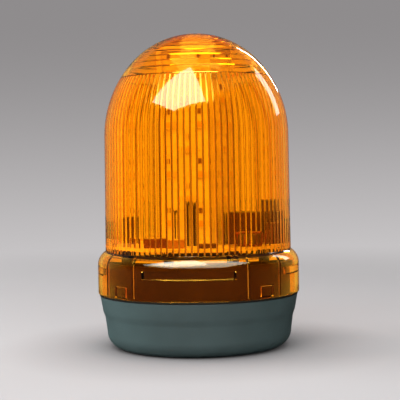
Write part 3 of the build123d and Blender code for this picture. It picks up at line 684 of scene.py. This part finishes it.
def metal(name, colour, tarnish, rough, centre, pitch=0.00012):
    """A turned or plated metal: lathe rings round an axis and a duller patchy film."""
    material, tree = started(name)
    rings = used(tree, turning, Centre=centre, Pitch=pitch)
    skin = used(tree, grain, Scale=2600.0, Depth=0.00001, Spread=420.0)
    film = ramped(tree, skin["Broad"], 0.42, 0.68)
    shine = ramped(tree, rings["Tone"], 0.0, 1.0, rough - 0.05, rough + 0.07)
    return finished(material, {
        "Base Color": blend(tree, film, (*colour, 1), (*tarnish, 1)), "Normal": rings["Normal"],
        "Roughness": maths(tree, "MULTIPLY_ADD", film, 0.2, shine), "Metallic": 1.0})


def board_material(colour):
    """A lacquered board: tracks showing through the lacquer, bright metal round the holes."""
    material, tree = started("white_board")
    pattern = used(tree, tracks)
    skin = used(tree, grain, Scale=3000.0, Depth=0.000006, Spread=110.0)
    body = mottled(tree, skin["Broad"], colour, 0.93, 1.04)
    lacquer = blend(tree, times(tree, pattern["Tracks"], 0.6), body,
                    toned(colour, 0.86))
    return finished(material, {
        "Base Color": blend(tree, pattern["Holes"], lacquer, (0.55, 0.50, 0.42, 1)),
        "Roughness": ramped(tree, skin["Fine"], 0.3, 0.7, 0.32, 0.44),
        "Normal": pattern["Normal"]})


def sleeve_material(colour, centre):
    """A capacitor's shrunk sleeve: glossy, with one pale plain band down its side."""
    material, tree = started("capacitor_sleeve")
    skin = used(tree, grain, Scale=1800.0, Depth=0.00001, Spread=140.0)
    part = node(tree, "SeparateXYZ", {0: here(tree)}).outputs
    across, ahead = [maths(tree, "SUBTRACT", part[axis], place)
                     for axis, place in zip("XY", centre)]
    turn = maths(tree, "ABSOLUTE", maths(tree, "ARCTAN2", ahead, across))
    band = ramped(tree, turn, 0.30, 0.34, 1.0, 0.0)
    body = mottled(tree, skin["Broad"], colour, 0.8, 1.25)
    return finished(material, {
        "Base Color": blend(tree, times(tree, band, 0.5), body, (0.35, 0.33, 0.3, 1)),
        "Roughness": ramped(tree, skin["Broad"], 0.3, 0.7, 0.22, 0.34),
        "Normal": skin["Normal"]})


def centre_of(node_name):
    """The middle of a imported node, in metres."""
    return tuple(sum(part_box(node_name), Vector()) / 2)


def amber_material():
    """Clear amber moulding; lamps reach the inside through it, tinted, past the shadow rays."""
    material, tree = started("amber_polycarbonate")
    streaks = used(tree, flow)
    marks = used(tree, rubs, Amount=1.0, Scale=140.0)["Mask"]
    tint = mottled(tree, streaks["Streak"], amber_through_wall, 0.975, 1.025, 0.35, 0.65)
    leaning = node(tree, "LayerWeight", {"Blend": 0.5}).outputs["Facing"]
    long_way = times(tree, maths(tree, "POWER", leaning, 1.6), 0.9)
    each_face = [sqrt(part) for part in amber_through_wall]
    clear = node(tree, "BsdfTransparent", {"Color": (*each_face, 1)})
    solid = tree.nodes["Principled BSDF"].outputs["BSDF"]
    mix = node(tree, "MixShader", {"Fac": node(tree, "LightPath").outputs["Is Shadow Ray"],
                                   1: solid, 2: clear.outputs["BSDF"]})
    tree.links.new(mix.outputs["Shader"], tree.nodes["Material Output"].inputs["Surface"])
    return finished(material, {
        "Base Color": blend(tree, long_way, tint, (*amber_along_wall, 1)), "IOR": 1.585,
        "Roughness": maths(tree, "MULTIPLY_ADD", marks, 0.10, 0.015),
        "Normal": streaks["Normal"], "Transmission Weight": 1.0})


amber_through_wall = (0.915, 0.515, 0.046)
amber_along_wall = (0.78, 0.17, 0.002)
# Each moulding's colour, roughness, grain scale and depth, mottling, dust, rub marks and gloss
mouldings = {
    "black_rubber": ((0.006, 0.006, 0.006), 0.62, 2200.0, 0.00004, 0.22, 0.03, 0.1, 0.2),
    "base_plastic": ((0.031, 0.050, 0.050), 0.43, 1700.0, 0.00005, 0.08, 0.12, 0.35),
    "ring_plastic": ((0.017, 0.007, 0.005), 0.5, 1500.0, 0.00004, 0.22, 0.02, 0.1, 0.12),
    "white_plastic": ((0.8, 0.8, 0.78), 0.48, 1500.0, 0.00004, 0.03, 0.25, 0.0),
    "wire_black": ((0.02, 0.012, 0.01), 0.35, 3000.0, 0.00001),
    "black_plastic": ((0.06, 0.022, 0.014), 0.42, 2600.0, 0.00002),
    "red_brown_plastic": ((0.12, 0.034, 0.014), 0.3, 2400.0, 0.00001),
    "ferrite": ((0.07, 0.06, 0.055), 0.6, 3200.0, 0.00005),
    "copper_wire": ((0.16, 0.038, 0.012), 0.25, 2600.0, 0.000006),
    "green_plastic": ((0.03, 0.2, 0.08), 0.4, 2400.0, 0.00002),
    "blue_plastic": ((0.30, 0.16, 0.08), 0.4, 2400.0, 0.00002),
    "light_package": ((0.72, 0.70, 0.62), 0.4, 3000.0, 0.00001, 0.22, 0.25, 0.0),
    "resistor_ceramic": ((0.20, 0.12, 0.07), 0.4, 3600.0, 0.00001),
    "phosphor": ((0.78, 0.50, 0.06), 0.3, 3600.0, 0.00001, 0.12, 0.0, 0.0),
}
materials = {name: moulding(name, *look) for name, look in mouldings.items()}
materials["brass"] = metal("brass", (0.72, 0.50, 0.20), (0.42, 0.27, 0.11), 0.28,
                           centre_of("buzzer_disc"))
materials["screw_steel"] = metal("screw_steel", (0.62, 0.62, 0.63), (0.45, 0.44, 0.40), 0.32,
                                 (0.0, 0.0, 0.0), 0.00008)
materials["white_board"] = board_material((0.80, 0.80, 0.77))
materials["capacitor_sleeve"] = sleeve_material((0.05, 0.017, 0.012), centre_of("capacitor_tall"))
materials["amber_lens"] = amber_material()
node_looks = {"led_resistors_%d" % number: "resistor_ceramic" for number in range(1, 5)}
node_slots = {row["node"]: row["material_slot"] for row in frame["record"]["subparts"]}
for node_name, node_object in frame["nodes"].items():
    node_object.data.materials.clear()
    look = node_looks.get(node_name, node_slots[node_name])
    node_object.data.materials.append(materials[look])

# Inner pieces

def block_rows(width, depth, edge, profile, columns=40):
    """Rows of a block with round corners: p = c(t) + (e - i)(cos t, sin t), c the nearest corner.

    The profile gives, from the foot up, how far each row is set in (i) and its height. With no
    size and no edge, a row set in by minus r is a circle of radius r.
    """
    turn = 2 * pi * (np.arange(columns) + 0.5) / columns
    way = np.stack([np.cos(turn), np.sin(turn)], axis=1)
    core = np.sign(way) * (np.array([width, depth]) / 2 - edge)
    inset, rise = np.array(profile, float).T[:, :, None, None]
    flat = core[None] + (edge - inset) * way[None]
    return np.concatenate([flat, rise + 0 * flat[..., :1]], axis=-1)


def case_profile(height, edge, seam=0.0):
    """Rows of a moulded case: foot, a thin joint round it at a height, and a rounded top.

    The top is an arc of the edge's radius that ends just short of level.
    """
    rows = [(0.12, 0), (0, 0.12)]
    if seam:
        rows += [(0, seam), (0.14, seam + 0.1), (0.14, seam + 0.35), (0, seam + 0.45)]
    lean = np.linspace(0, radians(80), 5)
    top = np.stack([edge - edge * np.cos(lean), height - edge + edge * np.sin(lean)], axis=1)
    return np.concatenate([np.array(rows), top])


def tube_shape(line, radius, guide, sides=12, closed=False):
    """A round tube: p = c(t) + r (cos a s(t) + sin a g(t)), s across the run and the guide."""
    run = np.roll(line, -1, axis=0) - np.roll(line, 1, axis=0) if closed \
        else np.gradient(line, axis=0)
    run = unit(run)
    across = unit(np.cross(run, guide))
    rise = np.cross(across, run)
    angle = 2 * pi * np.arange(sides)[None, :, None] / sides
    ring = np.cos(angle) * across[:, None] + np.sin(angle) * rise[:, None]
    grid = line[:, None] + radius * ring
    if closed:
        return stitched([grid], closed=True)
    return stitched([line[None, :1], grid, line[None, -1:]])


def light_spots():
    """Across and up places of the lights on a board: pairs, then one between, row by row."""
    up = board_top + light_row_first + np.arange(light_rows) * light_row_pitch
    return [(across, height) for across in (-light_column, light_column) for height in up[::2]] \
        + [(0, height) for height in up[1::2]]


def light_shape():
    """One light: a square package whose front rows turn round, with a shallow round recess."""
    package = block_rows(light_side, light_side, light_edge,
                         case_profile(light_height, light_edge))
    bowl = block_rows(0, 0, 0, [(-window_radius, light_height - 0.006),
                                (-window_radius + 0.1, window_floor)])
    return stitched([pole(0), package, bowl, pole(window_floor)])


def window_shape():
    """The phosphor in a light's recess: a disc whose top is a flattened arc."""
    crown = arc((0, 1.34), 1.8, 0, 3 * pi / 8, 4) * (1, 0.12) + (0, 1.18)
    return turned_shape([(0, 1.32), (1.86, 1.32), *crown, (0, 1.557)], 24, closed=False)


def facing(shape, across, up, face):
    """A shape whose +z looks out of a board, set on one side of the tower."""
    points, faces = shape
    x, y, z = points.T
    front = np.stack([x + across, -(light_face + z), y + up], axis=1), faces
    return placed(front, turn=tower_turn + (face - 1) * quarter_turn)


def make_lights():
    """The rows of lights on the four boards, and the phosphor windows set in them."""
    windows = []
    for face in range(1, 5):
        gathered("light_row_%d" % face,
                 [facing(light_shape(), across, up, face) for across, up in light_spots()],
                 "light_package", "leds_%d" % face)
        windows += [facing(window_shape(), across, up, face) for across, up in light_spots()]
    gathered("light_windows", windows, "light_package", look="phosphor")


def make_wires():
    """Three supply wires: up from the board, then bent in to the front board along an arc."""
    wires = []
    for across, rise in wire_places:
        out = light_face + wire_standoff
        path = rounded([(out, 0), (out, rise), (light_face, rise)], [0, wire_bend, 0], 12,
                       closed=False)
        line = np.stack([0 * path[:, 0] + across, -path[:, 0], path[:, 1] + board_top], axis=1)
        wires.append(placed(tube_shape(line, wire_radius, np.array([1.0, 0, 0]) + 0 * line),
                            turn=tower_turn))
    gathered("tower_wires", wires, "wire_black", "supply_wires")


def make_choke():
    """Ring core with round edges and a helix of wire: r = R + a c(t), z = b s(t), a rounded box.

    c and s are cosine and sine raised to the power 0.45 with their signs, so the wire hugs the
    core's nearly square section, while the turn round the axis grows by one winding in fourteen.
    """
    low, high = corners_of("choke_core")
    x, y = (low[:2] + high[:2]) / 2
    loop = rounded([(core_inner, 0), (core_outer, 0), (core_outer, core_height),
                    (core_inner, core_height)], [core_edge] * 4, 5)
    gathered("choke_ring", [placed(turned_shape(loop, 96), (x, y, low[2]))], "ferrite",
             "choke_core")
    steps = winding_count * winding_steps
    share = 2 * pi * np.arange(steps) / steps
    wave, rise = (np.sign(part) * np.abs(part) ** winding_hug
                  for part in (np.cos(winding_count * share), np.sin(winding_count * share)))
    line = polar(winding_middle + winding_reach * wave, share, winding_level + winding_rise * rise)
    middle = polar(winding_middle, share, winding_level + 0 * share)
    wire = placed(tube_shape(line, winding_radius, line - middle, 8, closed=True),
                  (x, y, board_top))
    gathered("choke_helix", [wire], "copper_wire", "choke_winding", sharp_above=60.0)


def standing(name, node_name, slot, made):
    """A piece in a node's place, its shape made from the node's width, depth and height."""
    low, high = corners_of(node_name)
    middle = (low + high) / 2
    gathered(name, [placed(made(*(high - low)), (middle[0], middle[1], low[2]))], slot, node_name)


def can_shape(width, _, height):
    """The tall capacitor: domed foot, crimp groove, and a sleeve rolled over a sunk metal top."""
    radius = width / 2
    wall = rounded([(radius - 0.6, 0), (radius, 0), (radius, 2.6), (radius - 0.5, 3.4),
                    (radius, 4.2), (radius, height), (radius - 1.5, height),
                    (radius - 1.7, height - 0.4)],
                   [0, 0.5, 0.3, 0.5, 0.3, 0.9, 0.1, 0], 5, closed=False)
    can = np.concatenate([[(0, 0.3), (radius - 1.4, 0.3), (radius - 1.2, 0)], wall,
                          [(0, height - 0.4)]])
    return turned_shape(can, 72, closed=False)


def buzzer_shape(width, _, height):
    """The buzzer's case: open below, a joint round its foot and a stepped sound hole on top."""
    radius, inner, hole = width / 2, width / 2 - buzzer_wall, buzzer_hole
    case = rounded([(inner, 0), (radius, 0), (radius, 3.6), (radius - 0.25, 3.75),
                    (radius - 0.25, 4.05), (radius, 4.2), (radius, height), (hole + 0.5, height),
                    (hole + 0.5, height - 0.4), (hole, height - 0.4),
                    (hole, height - buzzer_wall), (inner, height - buzzer_wall)],
                   [0.1, 0.2, 0.05, 0, 0, 0.05, 1.0, 0.1, 0, 0.1, 0.1, 0.3], 4)
    return turned_shape(case, 96)


def case_shape(edge, seam):
    """A rule that makes a block-shaped case with an edge radius and the height of its joint."""
    return lambda width, depth, height: stitched(
        [pole(0), block_rows(width, depth, edge, case_profile(height, edge, seam)),
         pole(height - edge + edge * sin(radians(80)))])


def insert_spots():
    """Places of the three mounting inserts."""
    angle = radians(60) + 2 * pi * np.arange(3) / 3
    return polar(insert_ring, angle, 0 * angle)


def insert_shape():
    """A brass insert, knurled outside and threaded inside.

    The knurl is r = 4 - d (1 - cos 40a) / 2 and the thread r = 2.7 + 0.18 cos(2 pi z / 0.8 - a).
    """
    angle = 2 * pi * np.arange(160) / 160
    up = np.concatenate([[0.03, 0.5, 0.7], np.linspace(1, 9, 3), [9.3, 9.5, 9.97]])[:, None]
    ridged = (up > 0.9) & (up < 9.1)
    depth = 0.16 * ridged + 0.25 * ((up < 0.1) | (up > 9.9))
    outside = polar(3.98 - depth * np.where(ridged, (1 - np.cos(40 * angle)) / 2, 1), angle,
                    up + 0 * angle)
    down = np.linspace(9.7, 0.3, 48)[:, None]
    thread = polar(2.7 + 0.18 * np.cos(2 * pi * down / 0.8 - angle), angle, down + 0 * angle)
    top, foot = [polar(3.0, angle, height + 0 * angle)[None] for height in (9.97, 0.03)]
    return stitched([outside, top, thread, foot], closed=True)


def make_underside():
    """Cable grommet, mounting seal and the brass inserts."""
    low, high = corners_of("cable_grommet")
    bore, neck, flange, flange_top = 3.5, entry_radius, 9.0, entry_top + 1.8
    loop = rounded([(bore, low[2]), (flange, low[2]), (flange, recess_height),
                    (neck, recess_height), (neck, entry_top), (flange, entry_top),
                    (flange, flange_top), (6.2, flange_top), (5.0, high[2]), (bore, high[2])],
                   [0.5, 0.5, 0.1, 0, 0, 0.1, 0.5, 0.5, 0.4, 0.4], 4)
    gathered("entry_grommet", [turned_shape(loop, 96)], "black_rubber", "cable_grommet")
    outer, _, tall = corners_of("mounting_seal")[1]
    loop = rounded([(outer - seal_width, 0), (outer, 0), (outer, tall),
                    (outer - seal_width, tall)], [0.35, 0.35, 0.1, 0.1], 4)
    gathered("foot_seal", [turned_shape(loop, 144)], "black_rubber", "mounting_seal")
    gathered("threaded_inserts", [placed(insert_shape(), spot) for spot in insert_spots()],
             "brass", "mount_inserts")


make_lens()
make_base()
make_gasket()
make_lights()
make_wires()
make_choke()
standing("relay_case", "control_relay", "black_plastic", case_shape(0.45, 2.2))
standing("film_case", "film_capacitor", "red_brown_plastic", case_shape(1.0, 0.0))
standing("capacitor_can", "capacitor_tall", "capacitor_sleeve", can_shape)
standing("buzzer_case", "buzzer_housing", "black_plastic", buzzer_shape)
make_underside()


# Floor, backdrop, lamps and camera

def make_floor():
    """Round floor that turns up into a wall all round: a profile of radius and height, turned."""
    reach, bend, height = 3200.0, 900.0, 3000.0
    turn = np.linspace(0, pi / 2, 17)[1:-1]
    ground = np.array([[r, 0] for r in (120.0, 250.0, 500.0, 1000.0, reach - bend)])
    curve = np.stack([reach - bend + bend * np.sin(turn), bend - bend * np.cos(turn)], axis=1)
    profile = np.concatenate([ground, curve, [[reach, bend], [reach, height]]])
    points, faces = stitched([pole(0), turned_grid(profile, 96)])
    floor = shown("studio_floor", (points, [block[:, ::-1] for block in faces]))
    floor.data.shade_smooth()
    floor.data.materials.append(paper_material())


def paper_material():
    """Pale paper: for the camera a grey that rises towards the wall's top turns darker.

    The painted shade follows v = (z - camera height) / (distance in front of the camera lens), so it
    is level in the picture. Round the object the paper is lit and takes the real shadow, and a
    painted contact shadow from ambient occlusion darkens it too; further off it glows with its
    own painted shade. Light that has come through the lens meets paper that glows white behind
    and a painted amber in front.
    """
    material, tree = started("studio_paper")
    place = node(tree, "SeparateXYZ", {0: here(tree)}).outputs
    ahead = maths(tree, "ADD", place["Y"], bow_place_m)
    aside = times(tree, place["X"], place["X"], bow_share)
    flat = maths(tree, "SQRT", maths(tree, "MULTIPLY_ADD", ahead, ahead, aside))
    slope = maths(tree, "DIVIDE", maths(tree, "SUBTRACT", place["Z"], camera_place_m[2]),
                  maths(tree, "ADD", flat, -camera_place_m[1] - bow_place_m))
    level = maths(tree, "MULTIPLY_ADD", slope, -camera_focal_px / picture_px,
                  horizon_px / picture_px, clamp=True)
    # Painted shade: the paper glows for the camera in a grey, dark towards the wall's top and pale at
    # its foot.
    ramp = node(tree, "ValToRGB", {0: level})
    ramp.color_ramp.interpolation = "EASE"
    for stop, spot, grey in zip(ramp.color_ramp.elements, (0.03, 1.0), (painted_shade_top, painted_shade_foot)):
        stop.position = spot
        stop.color = (linear(grey + 1), linear(grey - 2), linear(grey - 1), 1)
    shade = ramp.outputs["Color"]
    distance = node(tree, "VectorMath", {0: here(tree)}, operation="LENGTH").outputs["Value"]
    near = node(tree, "MapRange", {0: distance, 1: lit_near_m, 2: lit_far_m, 3: lit_share, 4: 0.0},
                interpolation_type="SMOOTHSTEP").outputs[0]
    path = node(tree, "LightPath").outputs
    seen, passed = path["Is Camera Ray"], path["Is Transmission Ray"]
    behind = ramped(tree, place["Y"], 0.3, 2.5, 0.0, mirrored_paper)
    through = ramped(tree, place["Y"], -0.3, 0.2, front_paper, white_paper)
    # Painted contact shadow: ambient occlusion darkens the paper's glow and its lit colour close to
    # the object.
    painted_contact_shadow = node(tree, "AmbientOcclusion", {"Distance": 0.07}, samples=8).outputs["AO"]
    painted_contact_shadow = maths(tree, "POWER", painted_contact_shadow, 0.75)
    own = times(tree, seen, painted_contact_shadow, maths(tree, "SUBTRACT", 1.0, near))
    other = maths(tree, "MULTIPLY_ADD", path["Is Glossy Ray"], behind,
                  times(tree, passed, through))
    # Painted amber glow: through the lens the paper in front glows amber, fading to white further
    # back.
    painted_glow_colour = blend(tree, ramped(tree, place["Y"], -0.3, 1.2), painted_amber_glow, (1, 1, 1, 1))
    painted_glow_colour = blend(tree, passed, (1, 1, 1, 1), painted_glow_colour)
    lit = blend(tree, times(tree, near, painted_contact_shadow, paper_gain), (0, 0, 0, 1), shade)
    bounced = blend(tree, path["Is Diffuse Ray"], (0.01, 0.01, 0.01, 1), (0.5, 0.5, 0.5, 1))
    return finished(material, {
        "Base Color": blend(tree, seen, bounced, lit), "Roughness": 1.0,
        "Emission Color": blend(tree, seen, painted_glow_colour, shade), "Specular IOR Level": 0.0,
        "Emission Strength": maths(tree, "ADD", own, other)})


def linear(value):
    """An 8-bit screen value as linear light."""
    part = value / 255
    return part / 12.92 if part <= 0.04045 else ((part + 0.055) / 1.055) ** 2.4


# The paper's painted shade at top and foot, where it bows, how far it is lit, what mirrors and the
# lens see
painted_shade_top, painted_shade_foot, horizon_px = 142, 218, 173
bow_place_m, bow_share = 0.25, 0.3
lit_share, lit_near_m, lit_far_m, paper_gain = 0.8, 0.35, 0.9, 0.36
mirrored_paper, front_paper, white_paper = 0.12, 0.75, 1.2
# Painted amber glow that the paper in front shows through the lens
painted_amber_glow = (1, 0.40, 0.05, 1)
make_floor()


def lamp(name, size, watts, place, aim=None, turn=0.0, mirrored=True, through=True):
    """A rectangular lamp at a place in metres, level and turned, or facing a point.

    It may be left out of mirror images, and of what is seen through the lens.
    """
    data = bpy.data.lights.new(name, "AREA")
    data.shape = "RECTANGLE"
    data.size, data.size_y = size
    data.energy = watts
    made = linked(name, data)
    way = Matrix.Rotation(turn, 4, "Z")
    if aim:
        way = (Vector(aim) - Vector(place)).to_track_quat("-Z", "Y").to_matrix().to_4x4()
    made.matrix_world = Matrix.Translation(place) @ way
    made.visible_glossy = mirrored
    made.visible_transmission = through
    return made


middle = (0, 0, 0.12)
lamp("overhead_softbox", (1.23, 0.99), 24, (-0.474, -0.93, 0.93), turn=radians(20))
lamp("rear_strip", (0.05, 0.5), 1.2, (0.44, 0.98, 0.62), aim=middle)
lamp("right_panel", (0.3, 0.7), 2.5, (1.15, 0.82, 0.75), aim=middle)
lamp("top_fill", (1.2, 1.2), 28, (0.1, 0.1, 1.5), mirrored=False)
lamp("left_panel", (0.9, 0.8), 36, (-1.1, 0.2, 0.35), aim=(0, 0, 0.05), mirrored=False,
     through=False)
lamp("front_fill", (0.9, 0.9), 15, (0.9, -1.5, 0.7), aim=middle, mirrored=False, through=False)
card = lamp("shoulder_card", (0.20, 0.13), 0.36, (-0.012, -0.143, 0.1))
card.visible_camera = False
card.visible_diffuse = False
card.data.spread = radians(158)

world = bpy.data.worlds.new("studio_air")
world.use_nodes = True
air = world.node_tree
rays = node(air, "LightPath").outputs
fill(air, air.nodes["Background"].inputs, {
    "Strength": maths(air, "MULTIPLY_ADD", rays["Is Transmission Ray"], 0.8, 0.05),
    "Color": blend(air, rays["Is Transmission Ray"], (1, 1, 1, 1), (1, 0.72, 0.4, 1))})
scene.world = world

camera_data = bpy.data.cameras.new("product_camera")
camera_data.lens = camera_lens_mm
camera_data.sensor_width = camera_sensor_mm
camera = linked("product_camera", camera_data)
camera.matrix_world = (Matrix.Translation(camera_place_m) @ Matrix.Rotation(camera_yaw, 4, "Z")
                       @ Matrix.Rotation(pi / 2 - camera_pitch, 4, "X")
                       @ Matrix.Rotation(camera_roll, 4, "Z"))
scene.camera = camera
scene.view_settings.view_transform = "Standard"
